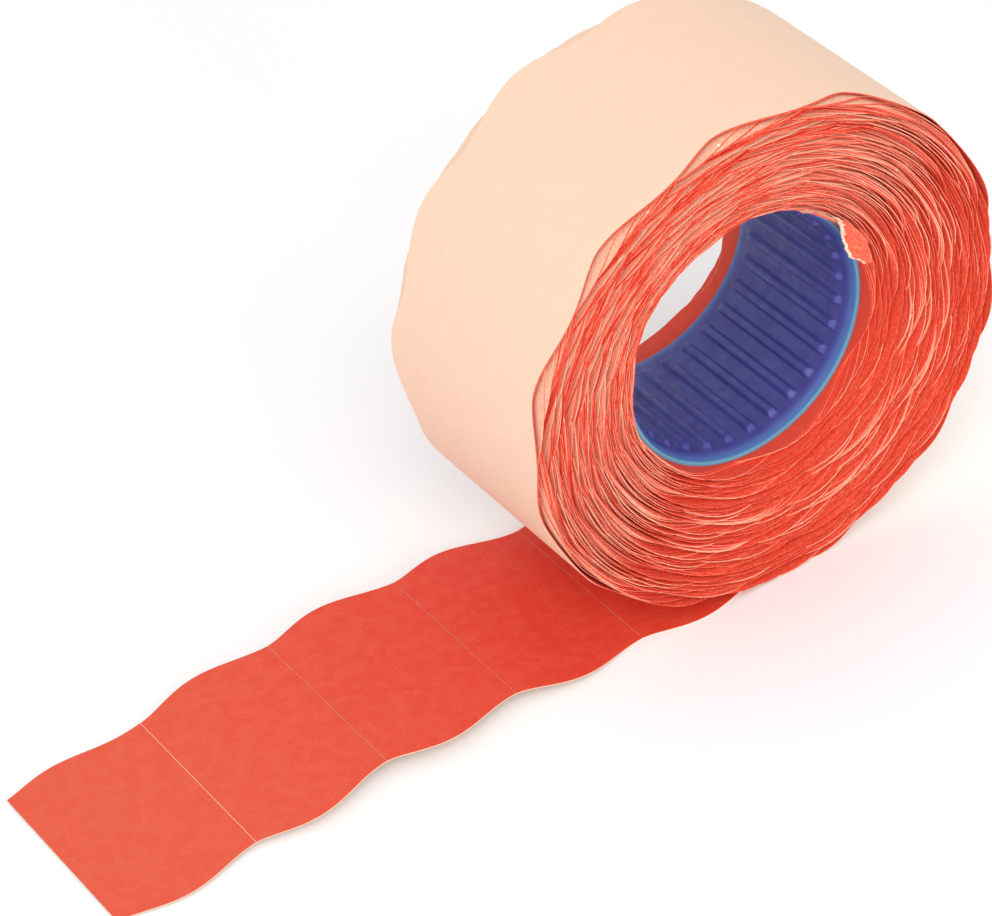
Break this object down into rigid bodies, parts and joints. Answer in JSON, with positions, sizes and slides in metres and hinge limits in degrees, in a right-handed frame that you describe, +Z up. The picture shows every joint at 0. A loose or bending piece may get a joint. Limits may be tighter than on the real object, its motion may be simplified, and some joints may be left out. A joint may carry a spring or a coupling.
{
  "type": "price gun label roll",
  "caption": "Wound roll of wave-edged self-adhesive price labels on a ribbed plastic core, with a short strip of labels pulled out flat in front of it.",
  "frame": {"origin": "centre of the core bore, half-way along it", "axes": "+Y along the bore axis towards the back of the roll, +Z up from the table, +X from the free end of the strip towards the roll"},
  "size_m": [0.1111, 0.0268, 0.0578],
  "materials": {
    "core_plastic": "moulded, slightly satin",
    "backing_paper": "smooth siliconised backing paper",
    "label_paper": "coated fluorescent label paper, matte"
  },
  "bodies": {
    "roll": {"core": "core_plastic", "inner_end_flap": "backing_paper", "backing_coil": "backing_paper", "labels_turn_01": "label_paper", "labels_turn_02": "label_paper", "labels_turn_03": "label_paper", "labels_turn_04": "label_paper", "labels_turn_05": "label_paper", "labels_turn_06": "label_paper", "labels_turn_07": "label_paper", "labels_turn_08": "label_paper", "labels_turn_09": "label_paper", "labels_turn_10": "label_paper", "labels_turn_11": "label_paper", "labels_turn_12": "label_paper", "backing_outer_turn": "backing_paper", "labels_outer_turn": "label_paper", "backing_at_roll": "backing_paper", "label_5": "label_paper"},
    "strip_4": {"backing_link_4": "backing_paper", "label_4": "label_paper"},
    "strip_3": {"backing_link_3": "backing_paper", "label_3": "label_paper"},
    "strip_2": {"backing_link_2": "backing_paper", "label_2": "label_paper"},
    "strip_1": {"backing_link_1": "backing_paper"},
    "end_label": {"label_1": "label_paper"}
  },
  "joints": [
    {"name": "strip_bend_4", "type": "hinge", "parent": "roll", "child": "strip_4", "pos_m": [-0.0179, -0.001, -0.02867], "axis": [0, 1, 0], "range_deg": [-20, 20]},
    {"name": "strip_bend_3", "type": "hinge", "parent": "strip_4", "child": "strip_3", "pos_m": [-0.03382, -0.001, -0.02707], "axis": [0, 1, 0], "range_deg": [-20, 20]},
    {"name": "strip_bend_2", "type": "hinge", "parent": "strip_3", "child": "strip_2", "pos_m": [-0.04982, -0.001, -0.02677], "axis": [0, 1, 0], "range_deg": [-20, 20]},
    {"name": "strip_bend_1", "type": "hinge", "parent": "strip_2", "child": "strip_1", "pos_m": [-0.06577, -0.001, -0.02797], "axis": [0, 1, 0], "range_deg": [-20, 20]},
    {"name": "label_peel", "type": "hinge", "parent": "strip_1", "child": "end_label", "pos_m": [-0.06587, -0.001, -0.02793], "axis": [0, 1, 0], "range_deg": [0, 120]}
  ]
}
